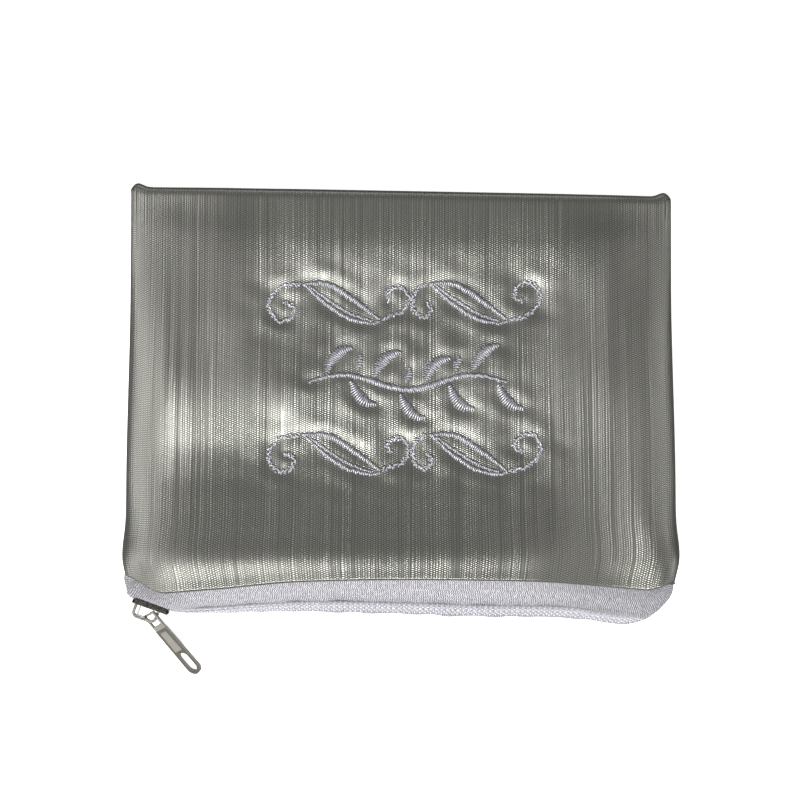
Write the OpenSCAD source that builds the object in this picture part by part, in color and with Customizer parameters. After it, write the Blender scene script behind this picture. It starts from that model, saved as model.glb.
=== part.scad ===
// Flat zippered pouch of embossed metallic faux leather, lying on its back.
// X runs along the zip, Y from the zip to the fold, Z up. Origin: middle of the back's rest face.

/* [Pouch] */
// Width between the side seams, half way up the pouch
pouch_w = 128; // [124:0.5:132]
// Distance from the origin to the folded end
fold_y = 49.5; // [48:0.5:52]
// Height of the folded end
fold_h = 4.6; // [4.2:0.1:5.6]
// Thickness of the faux leather
leather_t = 0.8; // [0.6:0.05:0.9]
// Thickness of the lining
lining_t = 0.2; // [0.1:0.05:0.25]
// Height at which the side seams join the two panels
seam_z = 3.2; // [2.8:0.1:3.6]

/* [Zip] */
// Height of the middle of the zip chain
chain_z = 4.6; // [4.5:0.1:4.7]
// Thickness of the woven tape
tape_t = 0.35; // [0.25:0.05:0.4]
// Half of the width of one coil
coil_w = 0.98; // [0.8:0.02:1]
// Half of the thickness of one coil
coil_h = 0.7; // [0.6:0.05:0.75]

/* [Slider] */
// Length of the slider
slider_l = 8.8; // [8:0.1:9]
// Half of the slider's width at its shoulders
slider_half_w = 3.5; // [3.4:0.05:3.5]
// Thickness of each wing of the slider
wing_t = 0.8; // [0.7:0.05:0.8]
// Half of the height of the channel between the wings
channel = 1.05; // [1:0.05:1.1]
// Height of the cap's outside above the slider's middle
cap_top = 5.3; // [5.3:0.05:5.5]
// Angle of the slider in plan
slider_turn = -20; // [-21:1:-19]

/* [Pull tab] */
// Length of the pull tab from its pivot
tab_l = 18.4; // [16:0.2:19]
// Width of the pull tab at its far end
tab_w = 3.9; // [3.7:0.1:4.2]
// Thickness of the pull tab's rim
tab_t = 0.9; // [0.8:0.05:1]
// Direction of the pull tab in plan
tab_turn = -51; // [-52:1:-50]
// Angle between the pull tab's face and upright
tab_lean = 50; // [40:1:50]
// Angle at which the pull tab droops to the table
tab_droop = 10; // [8:0.1:10]

/* [Hidden] */

half_w = pouch_w / 2;
fold_r = fold_h / 2;
// the fold runs slightly out of square with the sides
fold_slope = 0.0184;
// clearance between layers that lie on each other, and between the two panels at the seams
layer_gap = 0.03;
seam_gap = 0.22;
thread_r = 0.12;
// width of the rounded side of the front and of the back
front_round = 12;
back_round = 5;
// where the front panel starts, just behind the fold
front_start = fold_y - fold_r - 0.2;

leather_c = [0.58, 0.58, 0.54];
lining_c = [0.45, 0.45, 0.43];
tape_c = [0.88, 0.87, 0.92];
coil_c = [0.93, 0.92, 0.96];
thread_c = [0.78, 0.77, 0.88];
metal_c = [0.72, 0.71, 0.68];

// ---- small maths -------------------------------------------------------------------

function unit(v) = v / norm(v);
function ramp(a, b, x) = let (t = min(1, max(0, (x - a) / (b - a)))) t * t * (3 - 2 * t);
function bell(mid, wide, x) = exp(-pow((x - mid) / wide, 2));
function mix(a, b, t) = a + (b - a) * t;

// a smooth curve through the points p, at t from 0 to 1
function curve(p, t) =
    let (
        s = t * (len(p) - 1), i = min(len(p) - 2, floor(s)), f = s - i,
        a = p[max(0, i - 1)], b = p[i], c = p[i + 1], d = p[min(len(p) - 1, i + 2)]
    )
    0.5 * (2 * b + (c - a) * f + (2 * a - 5 * b + 4 * c - d) * f * f
        + (3 * b - a - 3 * c + d) * f * f * f);

// ---- closed solids from a grid or a row of rings ----------------------------------------

function grid_normal(g, i, j) =
    let (
        rows = len(g), cols = len(g[0]),
        along = g[min(rows - 1, i + 1)][j] - g[max(0, i - 1)][j],
        across = g[i][min(cols - 1, j + 1)] - g[i][max(0, j - 1)]
    )
    unit(cross(along, across));

// the sheet between the offsets lo and hi from the grid g of points
module sheet(g, lo, hi) {
    rows = len(g);
    cols = len(g[0]);
    n = rows * cols;
    points = [for (h = [lo, hi]) for (i = [0:rows - 1]) for (j = [0:cols - 1])
        g[i][j] + h * grid_normal(g, i, j)];
    quads = [for (i = [0:rows - 2]) for (j = [0:cols - 2]) i * cols + j];
    low = [for (q = quads) each [[q, q + cols, q + 1], [q + 1, q + cols, q + cols + 1]]];
    high = [for (f = low) [f[2] + n, f[1] + n, f[0] + n]];
    rim = concat(
        [for (j = [0:cols - 2]) j],
        [for (i = [0:rows - 2]) i * cols + cols - 1],
        [for (j = [cols - 1:-1:1]) (rows - 1) * cols + j],
        [for (i = [rows - 1:-1:1]) i * cols]
    );
    m = len(rim);
    side = [for (k = [0:m - 1]) let (a = rim[k], b = rim[(k + 1) % m])
        each [[a, b, a + n], [b, b + n, a + n]]];
    polyhedron(points, concat(low, high, side));
}

// the tube whose cross-sections are the rings
module tube(rings) {
    n = len(rings);
    m = len(rings[0]);
    wall = [for (i = [0:n - 2]) for (k = [0:m - 1])
        let (a = i * m + k, b = i * m + (k + 1) % m)
        each [[a, b, a + m], [b, b + m, a + m]]];
    caps = [[for (k = [m - 1:-1:0]) k], [for (k = [0:m - 1]) (n - 1) * m + k]];
    polyhedron([for (r = rings) each r], concat(wall, caps));
}

// ---- the two panels ---------------------------------------------------------------------

// half of the pouch's width at y: it swells towards the zip
function half_at(y) = half_w - 0.6 + 1.5 * ramp(30, -25, y) + 0.8 * bell(-35, 5, y)
    - 0.9 * ramp(-37, -44, y);
// plan of the mouth's edge, of the front and of the back
function mouth_y(x) = -41.9 - 2.8 * pow(x / 57, 2) + 3.4 * ramp(57, 65.5, abs(x));
function back_y(x) = -45.3 + 1.2 * ramp(50, 60, abs(x - 2)) + 3 * ramp(59, 66, abs(x - 2));
function skew(x, y) = y - fold_slope * x * ramp(-10, fold_y - fold_r, y);

// crown of the front along the pouch's middle, and the height of its sides
function crown_z(y) = fold_h + 3 * ramp(47, 15, y) + 0.9 * bell(2, 16, y)
    + 3 * ramp(-17, -39, y);
function front_side_z(y) = seam_z + seam_gap + 4.3 * ramp(-31, -42, y);
function rounded(d, wide) = sqrt(1 - pow(1 - min(1, d / wide), 2));

function front_point(x, y) =
    let (d = max(0, half_at(y) - abs(x)), side = front_side_z(y))
    [x, skew(x, y), side + (crown_z(y) - side) * rounded(d, front_round)];

// the back is narrower at its mouth's corners, and lies flat there
function back_half(y) = half_at(y) - 3.2 * ramp(-29, -39, y);
function back_height(x, y) =
    let (d = max(0, back_half(y) - abs(x)))
    (seam_z - seam_gap) * (1 - 0.9 * ramp(-28, -38, y)) * (1 - rounded(d, back_round));

// columns of the grids, as distances in from the side: close together where the side curves
side_angles = [0, 6, 28, 56, 90];
side_columns = len(side_angles) - 1;
function inset(wide, k) = wide * (1 - cos(side_angles[k]));
flat_columns = 14;
columns = 2 * side_columns + flat_columns;
function column_x(half, wide, j) =
    j < side_columns ? -half + inset(wide, j)
    : j > columns - side_columns ? half - inset(wide, columns - j)
    : mix(-half + wide, half - wide, (j - side_columns) / flat_columns);

front_rows = 17;
front_grid = [for (i = [0:front_rows]) [for (j = [0:columns])
    let (
        x0 = column_x(half_w, front_round, j),
        y = mix(front_start, mouth_y(x0), i / front_rows)
    )
    front_point(column_x(half_at(y), front_round, j), y)]];

back_rows = 12;
fold_steps = 8;
back_flat = [for (i = [0:back_rows]) [for (j = [0:columns])
    let (
        x0 = column_x(half_w, back_round, j),
        y = mix(back_y(x0), fold_y - fold_r, i / back_rows),
        x = column_x(back_half(y), back_round, j)
    )
    [x, skew(x, y), back_height(x, y) * ramp(fold_y - fold_r, fold_y - 12, y)]]];
back_fold = [for (k = [1:fold_steps]) [for (j = [0:columns])
    let (a = k * 180 / fold_steps, x = column_x(half_at(fold_y), back_round, j))
    [x, skew(x, fold_y - fold_r + fold_r * sin(a)), fold_r - fold_r * cos(a)]]];
back_grid = concat(back_flat, back_fold);

function part_of(g, i0, i1, j0, j1) = [for (i = [i0:i1]) [for (j = [j0:j1]) g[i][j]]];

module front_panel() {
    color(leather_c) sheet(front_grid, -leather_t, 0);
}

module embroidery_backing() {
    top = -leather_t - layer_gap;
    color("white") sheet(part_of(front_grid, 4, 14, side_columns + 2, columns - side_columns - 2),
        top - 0.1, top);
}

module front_lining() {
    top = -leather_t - 3 * layer_gap - 0.1;
    color(lining_c) sheet(part_of(front_grid, 1, front_rows - 2, 3, columns - 3),
        top - lining_t, top);
}

module back_panel() {
    color(leather_c) sheet(back_grid, -leather_t, 0);
}

module back_lining() {
    top = -leather_t - 2 * layer_gap;
    color(lining_c) sheet(part_of(back_grid, 1, back_rows - 1, 3, columns - 3),
        top - lining_t, top);
}

// ---- zip --------------------------------------------------------------------------------

// middle of the slider when the zip is closed, and the way its long axis points
slider_at = [-58.4, -47, chain_z];
slider_u = [cos(slider_turn), sin(slider_turn), 0];

// the middle of the chain, from the left seam round both corners to the right seam
chain = [
    [-62.4, -38, chain_z], [-63.4, -41.5, chain_z],
    slider_at - 5.5 * slider_u, slider_at - 3 * slider_u, slider_at,
    slider_at + 3 * slider_u, slider_at + 5.5 * slider_u,
    [-47, -49.2, chain_z], [-24, -49, chain_z], [0, -48.1, chain_z], [18, -47.9, chain_z],
    [38, -49.8, chain_z], [46.8, -50.8, chain_z], [52.4, -51, chain_z], [56.6, -50, chain_z],
    [59.7, -47.5, chain_z], [61.7, -44, chain_z], [62.2, -39, chain_z]
];
// how steep the chain stands, and how far each coil is from the chain's middle, at those points
steep = [80, 86, 90, 90, 90, 90, 88, 78, 64, 60, 60, 62, 64, 66, 68, 72, 78, 80];
spread = [1.1, 1.25, 2.1, 2.2, 1.3, 1.04, for (i = [6:17]) 1.02];
// distance from the chain's middle at which the front's tape and the back's bend inwards
exit_up = [2.5, 2.65, 3.8, 4.5, 4.5, 4.4, 4.3, 4.2, for (i = [8:14]) 4, 3.8, 3.4, 2.9];
exit_down = [2.8, 3.2, 4.1, 4.2, 4.2, 4.2, 4.1, for (i = [7:14]) 3.9, 3.6, 3.3, 2.9];

function chain_dir(t) = unit(curve(chain, min(1, t + 0.002)) - curve(chain, max(0, t - 0.002)));
function chain_up(t) =
    let (d = chain_dir(t), a = curve(steep, t)) unit([-d[1] * cos(a), d[0] * cos(a), sin(a)]);
// point beside the chain: up along the tape, out away from the pouch
function beside(t, up, out) =
    let (u = chain_up(t), n = cross(chain_dir(t), u)) curve(chain, t) + up * u + out * n;

// the tape's inner edge under the front's lip and over the back's edge
lip = 2.2;
function lip_point(t, inside) =
    let (
        c = curve(chain, t), turn = ramp(-46, -41, c[1]),
        x = c[0] * (half_w - 1.8 - inside * turn) / (half_w + 0.3),
        in_y = inside * (1 - turn),
        y = max(mouth_y(x) + in_y, c[1] + 0.5 + 0.4 * in_y),
        z = front_point(x, y)[2] - leather_t - tape_t / 2 - mix(0.35, 0.2, inside / lip)
    )
    [x, skew(x, y), z];
function sill_point(t, inside) =
    let (
        c = curve(chain, t), turn = ramp(-46, -41, c[1]),
        x = c[0] * (half_w - 3.4 - inside * turn) / (half_w + 0.3),
        in_y = inside * (1 - turn),
        y = max(back_y(x) + in_y, c[1] + 0.9 + 0.4 * in_y),
        z = back_height(x, y) + leather_t + tape_t / 2 + 0.1
    )
    [x, skew(x, y), z];

tape_rings = 56;
front_tape_grid = [for (i = [0:tape_rings]) let (t = i / tape_rings, s = curve(spread, t)) [
    beside(t, s + coil_w + 0.1, 0), beside(t, curve(exit_up, t), 0),
    lip_point(t, 0), lip_point(t, lip)
]];
back_tape_grid = [for (i = [0:tape_rings]) let (t = i / tape_rings, s = curve(spread, t)) [
    sill_point(t, lip), sill_point(t, 0), beside(t, -curve(exit_down, t), 0),
    beside(t, -s - coil_w - 0.1, 0)
]];

module front_zip_tape() {
    color(tape_c) sheet(front_tape_grid, -tape_t / 2, tape_t / 2);
}

module back_zip_tape() {
    color(tape_c) sheet(back_tape_grid, -tape_t / 2, tape_t / 2);
}

// one side of the chain; side is 1 for the front's coil and -1 for the back's
coil_rings = 64;
function coil_ring(t, side) = [for (a = [330:-60:30])
    beside(t, side * curve(spread, t) + coil_w * cos(a) * 0.99, coil_h * sin(a))];

module coil(side) {
    color(coil_c) tube([for (i = [0:coil_rings]) coil_ring(i / coil_rings, side)]);
}
module front_coil() {
    coil(1);
}
module back_coil() {
    coil(-1);
}

// a thread of round section along a row of points
function ring_at(p, i, r, sides) =
    let (
        d = unit(p[min(len(p) - 1, i + 1)] - p[max(0, i - 1)]),
        a = unit(cross(d, [0, 0, 1])), b = cross(a, d)
    )
    [for (k = [0:sides - 1]) p[i] + r * (a * cos(k * 360 / sides) + b * sin(k * 360 / sides))];
module thread(p, r) {
    tube([for (i = [0:len(p) - 1]) ring_at(p, i, r, 5)]);
}

// the chain stitch that holds each coil to its tape
module coil_thread(side) {
    out = coil_h + 0.02;
    color(thread_c) thread([for (i = [0:coil_rings]) let (t = i / coil_rings)
        beside(t, side * (curve(spread, t) + 0.35), out)], thread_r);
}
module front_coil_thread() {
    coil_thread(1);
}
module back_coil_thread() {
    coil_thread(-1);
}

// the seam that sews a tape to its panel, on the tape's inner face; up is 1 or -1
module zip_seam(g, a, b, up) {
    color(thread_c) thread([for (i = [7:tape_rings - 7])
        mix(g[i][a], g[i][b], 0.6) + [0, 0, up * (tape_t / 2 + thread_r + 0.05)]], thread_r);
}
module front_zip_seam() {
    zip_seam(front_tape_grid, 3, 2, -1);
}
module back_zip_seam() {
    zip_seam(back_tape_grid, 0, 1, 1);
}

// the seams that join the two panels down the sides, in the gap between their edges
module side_seam(side) {
    color(thread_c) thread([for (y = [fold_y - fold_r - 8:-4:-26])
        let (x = side * (half_at(y) - 0.25)) [x, skew(x, y), seam_z - 0.04]], 0.1);
}
module side_seam_left() {
    side_seam(-1);
}
module side_seam_right() {
    side_seam(1);
}

// ---- embroidery -------------------------------------------------------------------------

// middle of the upper and lower scrolls and of the sprig
upper_at = [1.3, 22.8];
lower_at = [1.3, -12.6];
sprig_at = [1.6, 6];
stitch_h = 0.4;
base_h = 0.12;

// a satin-stitched stroke on the front: w is its half width, thin at both ends
module stroke(at, p, w, steps = 14) {
    tube([for (i = [0:steps])
        let (
            t = i / steps, c = curve(p, t) + at,
            d = unit(curve(p, min(1, t + 0.02)) - curve(p, max(0, t - 0.02))),
            side = [-d[1], d[0]] * w * (0.35 + 0.65 * sin(180 * t)),
            a = c + side, b = c - side, up = [0, 0, 1]
        )
        [
            front_point(b[0], b[1]) + base_h * up,
            front_point(a[0], a[1]) + base_h * up,
            front_point(c[0], c[1]) + (base_h + stitch_h) * up
        ]]);
}

// the leaf of a scroll: two strokes that meet at both ends
module leaf(at) {
    stroke(at, [[-23.6, 5], [-18, 4.6], [-12, 0.8], [-6.8, -3.1]], 0.5);
    stroke(at, [[-23.4, 3.9], [-19.4, 0], [-14, -3.5], [-8.6, -4.8], [-7, -4.5]], 0.5);
}

module scroll_left(at) {
    color(thread_c) {
        leaf(at);
        stroke(at, [[-24.9, 4.6], [-30, 3.6], [-32.3, 0], [-30.4, -3.8], [-27.2, -3.4],
            [-26.4, -0.8], [-28.6, 0.3]], 0.4, 20);
    }
}
module scroll_right(at) {
    color(thread_c) {
        leaf(at + [29.8, 0]);
        stroke(at, [[24.2, -3.9], [29, -2.4], [31.4, 1.2], [29.8, 4.6], [26.3, 4.2], [25.4, 1.8],
            [27.2, 0.6]], 0.4, 20);
    }
}
module curls(at) {
    color(thread_c) {
        stroke(at, [[-5.4, -3.4], [-1, -1.8], [0.6, 1.4], [-1.6, 3.9], [-4.4, 2.8],
            [-3.9, 0.6]], 0.3, 16);
        stroke(at, [[4.4, 4.6], [1.9, 2.6], [1.6, -1.2], [3.8, -3.4], [5.9, -1.6],
            [4.9, 0.2]], 0.3, 16);
    }
}
module upper_scroll_left() {
    scroll_left(upper_at);
}
module upper_scroll_right() {
    scroll_right(upper_at);
}
module upper_curls() {
    curls(upper_at);
}
module lower_scroll_left() {
    scroll_left(lower_at);
}
module lower_scroll_right() {
    scroll_right(lower_at);
}
module lower_curls() {
    curls(lower_at);
}

// the sprig: a waving stem with leaves on both sides and round buds
sprig_l = 46;
sprig_leaf_count = 8;
sprig_bud_count = 3;
function stem(t) = [(t - 0.5) * sprig_l, -1.6 + 1.7 * sin(360 * 1.5 * t)];

module sprig_stem() {
    color(thread_c) stroke(sprig_at, [for (t = [0:0.1:1.001]) stem(t)], 0.75, 36);
}

module sprig_leaves() {
    color(thread_c) for (k = [0:sprig_leaf_count - 1]) {
        t = (k + 0.6) / sprig_leaf_count;
        up = k % 2 == 0 ? 1 : -1;
        root = stem(t) + [0.6, up * 1.5];
        stroke(sprig_at, [root, root + [1.2, up * 2.6], root + [3.2, up * 4.6],
            root + [5.6, up * 5.4]], 1.4, 10);
    }
}

module sprig_buds() {
    color(thread_c) for (k = [0:sprig_bud_count - 1]) {
        t = (2 * k + 1.9) / sprig_leaf_count;
        root = stem(t) + [0.4, 1.9];
        stroke(sprig_at, [root, root + [0.4, 1.5], root + [0.6, 2.9]], 0.95, 8);
    }
}

// ---- slider and pull tab ------------------------------------------------------------------

wing_top = channel + wing_t;
rear_half_w = 3;
slot = 0.42;
flange_w = 0.5;

module slider_frame() {
    translate(slider_at) rotate([0, 0, slider_turn]) rotate([90, 0, 0]) children();
}

// plan of a wing: straight at the rear, wide at the shoulders, notched between them
module wing_plan() {
    front = -slider_l / 2;
    polygon([
        [slider_l / 2, -rear_half_w + 0.4], [slider_l / 2, rear_half_w - 0.4],
        [slider_l / 2 - 0.4, rear_half_w], [0.8, rear_half_w],
        [-1.8, slider_half_w], [front + 0.6, slider_half_w], [front, slider_half_w - 0.7],
        [front + 0.3, 1.4], [front - 0.1, 0.7], [front - 0.1, -0.7], [front + 0.3, -1.4],
        [front, -slider_half_w + 0.7], [front + 0.6, -slider_half_w],
        [-1.8, -slider_half_w], [0.8, -rear_half_w], [slider_l / 2 - 0.4, -rear_half_w]
    ]);
}

module flange_plan(side) {
    polygon([for (p = [
        [slider_l / 2 - 0.4, rear_half_w], [0.8, rear_half_w], [-1.8, slider_half_w],
        [-slider_l / 2 + 0.6, slider_half_w], [-slider_l / 2 + 0.6, slider_half_w - flange_w],
        [-1.9, slider_half_w - flange_w], [0.7, rear_half_w - flange_w],
        [slider_l / 2 - 0.4, rear_half_w - flange_w]
    ]) [p[0], side * p[1]]]);
}

module slider_body() {
    color(metal_c) slider_frame() {
        for (z = [-wing_top, channel]) translate([0, 0, z]) linear_extrude(wing_t) wing_plan();
        for (side = [-1, 1]) for (z = [-channel, slot])
            translate([0, 0, z]) linear_extrude(channel - slot) flange_plan(side);
        translate([0, 0, -channel]) linear_extrude(2 * channel)
            polygon([[-slider_l / 2 - 0.1, -0.7], [-3.2, -1], [-1.6, 0], [-3.2, 1],
                [-slider_l / 2 - 0.1, 0.7]]);
    }
}

// the arched cap, wound as a strap over the top wing
cap_w = 1.05;
cap_t = 0.7;
cap_front = -3.8;
cap_rear = 2.4;
module arch(inset_by) {
    r = 1.5 - inset_by;
    lo = cap_front + inset_by;
    hi = cap_rear - inset_by;
    hull() {
        translate([lo + r, cap_top - inset_by - r]) circle(r = r, $fn = 48);
        translate([hi - r, cap_top - inset_by - r]) circle(r = r, $fn = 48);
        translate([lo, 0]) square([hi - lo, 1]);
    }
}
module slider_cap() {
    color(metal_c) slider_frame() translate([0, cap_w / 2, 0]) rotate([90, 0, 0])
        linear_extrude(cap_w) difference() {
            arch(0);
            arch(cap_t);
            translate([cap_front - 1, -1]) square([cap_rear - cap_front + 2, wing_top + 1]);
        }
}

// the blade spring that presses the lock's prong down
module lock_spring() {
    top = cap_top - cap_t - 0.02;
    color("silver") slider_frame() translate([0, 0.5, 0]) rotate([90, 0, 0])
        linear_extrude(1) polygon([
            [-2.5, top], [-0.5, top], [-0.5, top - 0.22], [-2.2, top - 0.22],
            [-2.2, wing_top + 0.02], [-2.5, wing_top + 0.02]
        ]);
}

// pivot of the pull tab inside the cap's arch, in the slider's frame
pivot_x = 0.2;
pivot_z = 3.5;
pin_r = 0.3;
eye_half_w = 1.45;
eye_l = 3.4;
head_half_w = 1.9;
head_t = 0.6;
hole_l = 5.6;
hole_w = 2.8;
tab_floor = 0.4;

module tab_plan() {
    difference() {
        hull() {
            translate([tab_l - tab_w / 2, 0]) circle(d = tab_w, $fn = 64);
            translate([4.6, -head_half_w + 0.1]) square([1, 2 * head_half_w - 0.2]);
        }
        hull() for (s = [-1, 1]) translate([tab_l - 3.6 + s * (hole_l - hole_w) / 2, 0])
            circle(d = hole_w, $fn = 48);
    }
}

// the head is thinner, with an open eye between two arms
module head_plan() {
    difference() {
        hull() {
            translate([4.8, -head_half_w + 0.1]) square([0.2, 2 * head_half_w - 0.2]);
            translate([0, -head_half_w]) square([1, 2 * head_half_w]);
        }
        translate([-1, -eye_half_w]) square([eye_l + 1, 2 * eye_half_w]);
    }
}

// the sunk panel in the tab's faces, between the eye and the hole
module panel_plan() {
    start = eye_l + 2;
    hull() {
        translate([start, -1.1]) square([0.4, 2.2]);
        translate([tab_l - 7.4, -1.3]) square([0.4, 2.6]);
    }
}

module pull_tab() {
    color(metal_c) slider_frame() translate([pivot_x, 0, pivot_z]) rotate([-90, 0, 0])
        rotate([0, 0, tab_turn - slider_turn]) rotate([0, tab_droop, 0])
        rotate([90 - tab_lean, 0, 0]) {
            difference() {
                translate([0, 0, -tab_t / 2]) linear_extrude(tab_t) tab_plan();
                for (side = [0, 1]) mirror([0, 0, side])
                    translate([0, 0, tab_floor / 2]) linear_extrude(tab_t) panel_plan();
            }
            translate([0, 0, -head_t / 2]) linear_extrude(head_t) head_plan();
            rotate([90, 0, 0]) cylinder(r = pin_r, h = 2 * head_half_w, center = true, $fn = 32);
        }
}

// ---- one line for each sub-part -----------------------------------------------------------

back_panel();
back_lining();
back_zip_tape();
back_coil();
back_coil_thread();
back_zip_seam();
side_seam_left();
side_seam_right();
front_panel();
front_lining();
front_zip_tape();
front_coil();
front_coil_thread();
front_zip_seam();
embroidery_backing();
upper_scroll_left();
upper_scroll_right();
upper_curls();
lower_scroll_left();
lower_scroll_right();
lower_curls();
sprig_stem();
sprig_leaves();
sprig_buds();
slider_body();
slider_cap();
lock_spring();
pull_tab();
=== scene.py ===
"""Looks of the zippered pouch: leather shell, linings, zip, embroidery, slider and tab."""
import math

import bpy
import numpy as np
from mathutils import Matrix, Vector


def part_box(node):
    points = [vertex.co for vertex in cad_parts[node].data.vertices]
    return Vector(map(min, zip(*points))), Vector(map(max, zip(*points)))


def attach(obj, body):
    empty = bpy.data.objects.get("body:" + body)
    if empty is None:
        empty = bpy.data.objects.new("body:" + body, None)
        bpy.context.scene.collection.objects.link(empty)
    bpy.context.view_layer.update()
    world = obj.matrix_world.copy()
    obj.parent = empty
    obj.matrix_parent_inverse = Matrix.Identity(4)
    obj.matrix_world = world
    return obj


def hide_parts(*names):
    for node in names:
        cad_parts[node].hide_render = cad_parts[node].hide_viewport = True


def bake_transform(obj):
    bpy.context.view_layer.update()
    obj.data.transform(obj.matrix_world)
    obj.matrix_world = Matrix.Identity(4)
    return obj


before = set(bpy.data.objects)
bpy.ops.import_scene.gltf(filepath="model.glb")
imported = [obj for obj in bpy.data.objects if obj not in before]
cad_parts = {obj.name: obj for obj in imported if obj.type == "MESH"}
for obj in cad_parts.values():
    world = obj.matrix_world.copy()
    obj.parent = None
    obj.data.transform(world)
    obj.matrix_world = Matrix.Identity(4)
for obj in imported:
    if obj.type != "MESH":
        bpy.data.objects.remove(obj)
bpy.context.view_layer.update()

MM = 0.001

# ---- dimensions in millimetres: mostly the CAD source's, with layers a little thinner ---------
HALF_W = 64.0
FOLD_Y = 49.5
FOLD_H = 4.6
FOLD_R = FOLD_H / 2
FOLD_SLOPE = 0.0184
SEAM_Z = 3.2
SEAM_GAP = 0.05
FRONT_ROUND = 12.0
BACK_ROUND = 5.0
LEATHER_T = 0.75
LINING_T = 0.15
BACKING_T = 0.1
TAPE_T = 0.32
LIP_R = 0.82
FRONT_START = FOLD_Y - FOLD_R  # y where both panels run into the fold
CHAIN_Z = 4.6
COIL_W = 0.98
ZIP_PITCH = 1.27
SLIDER_TURN = math.radians(-20)
SLIDER_AT = np.array([-58.4, -47.0, CHAIN_Z])
SLIDER_U = np.array([math.cos(SLIDER_TURN), math.sin(SLIDER_TURN), 0.0])
TAB_PIVOT = (-59.41, -50.36, CHAIN_Z)
TAB_TURN, TAB_DROOP, TAB_ROLL = (math.radians(a) for a in (-51, 10, 40))
# the way the tab's face looks, once it is rolled, drooped and turned
TAB_NORMAL = (
    math.cos(TAB_TURN) * math.cos(TAB_ROLL) * math.sin(TAB_DROOP)
    + math.sin(TAB_TURN) * math.sin(TAB_ROLL),
    math.sin(TAB_TURN) * math.cos(TAB_ROLL) * math.sin(TAB_DROOP)
    - math.cos(TAB_TURN) * math.sin(TAB_ROLL),
    math.cos(TAB_ROLL) * math.cos(TAB_DROOP),
)
ZIP_OPEN_X = 44.0
ZIP_END_X = 62.0
MOUTH_Y = -41.3
SILL_Y = -45.3
FOLD_V = 103.8  # where the fold lies on the shell's flat sheet
UP = np.array([0, 0, 1.0])


# ---- small maths ---------------------------------------------------------------------------
def ramp(a, b, x):
    """0 at a, 1 at b and smooth in between; b may lie on either side of a."""
    t = np.clip((np.asarray(x, float) - a) / (b - a), 0, 1)
    return t * t * (3 - 2 * t)


def bell(mid, wide, x):
    """1 at mid, fading to 0 on both sides."""
    return np.exp(-(((x - mid) / wide) ** 2))


def mix(a, b, t):
    return a + (b - a) * t


def unit(v):
    return v / np.maximum(np.linalg.norm(v, axis=-1, keepdims=True), 1e-9)


def curve(points, t):
    """A smooth curve through the points (numbers or rows), at each t from 0 to 1."""
    p = np.asarray(points, float)
    s = np.clip(np.asarray(t, float), 0, 1) * (len(p) - 1)
    i = np.minimum(np.floor(s).astype(int), len(p) - 2)
    f = s - i
    if p.ndim > 1:
        f = f[..., None]
    a, b, c, d = p[np.maximum(i - 1, 0)], p[i], p[i + 1], p[np.minimum(i + 2, len(p) - 1)]
    return 0.5 * (
        2 * b + (c - a) * f + (2 * a - 5 * b + 4 * c - d) * f * f
        + (3 * b - a - 3 * c + d) * f ** 3
    )


def length_at(points):
    """How far along the row each of its points lies."""
    return np.r_[0, np.cumsum(np.linalg.norm(np.diff(points, axis=0), axis=1))]


def even(points, count):
    """The row of points taken again at even distances along itself."""
    step = length_at(points)
    at = np.linspace(0, step[-1], count)
    return np.stack([np.interp(at, step, points[:, k]) for k in range(points.shape[1])], 1)


def ripple(x, y, size, seed):
    """Smooth waves without a direction, about size millimetres across, mostly within -1 to 1."""
    rng = np.random.default_rng(seed)
    total = 0
    for _ in range(9):
        angle, phase = rng.uniform(0, math.tau, 2)
        k = math.tau / (size * rng.uniform(0.7, 1.6))
        total = total + np.sin(k * (x * math.cos(angle) + y * math.sin(angle)) + phase)
    return total / 5


# ---- shape of the two panels ----------------------------------------------------------------
def half_at(y):
    """Half of the front's width: it grows towards the zip and comes in again at the corners."""
    return (HALF_W - 0.1 + 1.1 * ramp(30, -25, y) + 0.7 * bell(-35, 5, y)
            - 0.9 * ramp(-37, -44, y))


def mouth_y(x):
    """The front's edge over the zip: it bows down to both sides and ends higher at the seams."""
    left = -2.8 * (x / 57) ** 2 - 0.6 * ramp(-24, -44, x) + 5 * ramp(-55, -65.5, x)
    right = -1.3 * (x / 57) ** 2 - 1.4 * ramp(28, 60, x) + 2.2 * ramp(57, 65.5, x)
    return MOUTH_Y + np.where(np.less(x, 0), left, right)


def back_y(x):
    """The back's edge under the zip, with rounded corners."""
    return SILL_Y + 1.2 * ramp(50, 60, np.abs(x - 2)) + 3 * ramp(59, 66, np.abs(x - 2))


def skew(x, y):
    """y moved so that the fold slopes a little while the zip's side stays level."""
    return y - FOLD_SLOPE * x * ramp(-10, FRONT_START, y)


def rounded(d, wide, power=2):
    """Rises from 0 at a side to 1 at wide in from it: a quarter circle when power is 2."""
    return np.sqrt(np.clip(1 - (1 - np.clip(d / wide, 0, 1)) ** power, 0, 1))


def crown_z(y):
    """Height of the front along its middle, from the zip to the fold."""
    return (FOLD_H + 3 * ramp(47, 15, y) + 0.9 * bell(2, 16, y)
            + 3 * ramp(-17, -39, y))


def front_z(x, y):
    """Height of the front before its swells: the crown, rounding down to the side seams."""
    d = np.maximum(0, half_at(y) - np.abs(x))
    side = SEAM_Z + SEAM_GAP + 4.3 * ramp(-31, -42, y)
    return side + (crown_z(y) - side) * rounded(d, FRONT_ROUND + 4, 3)


def back_half(y):
    return half_at(y) - 3.2 * ramp(-29, -39, y)


def back_z(x, y):
    """Height of the back's outside: it lies just over the floor and turns up at the sides."""
    d = np.maximum(0, back_half(y) - np.abs(x))
    rise = (SEAM_Z - SEAM_GAP) * (1 - 0.74 * ramp(-28, -38, y))
    return 0.02 + rise * (1 - rounded(d, BACK_ROUND))


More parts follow.
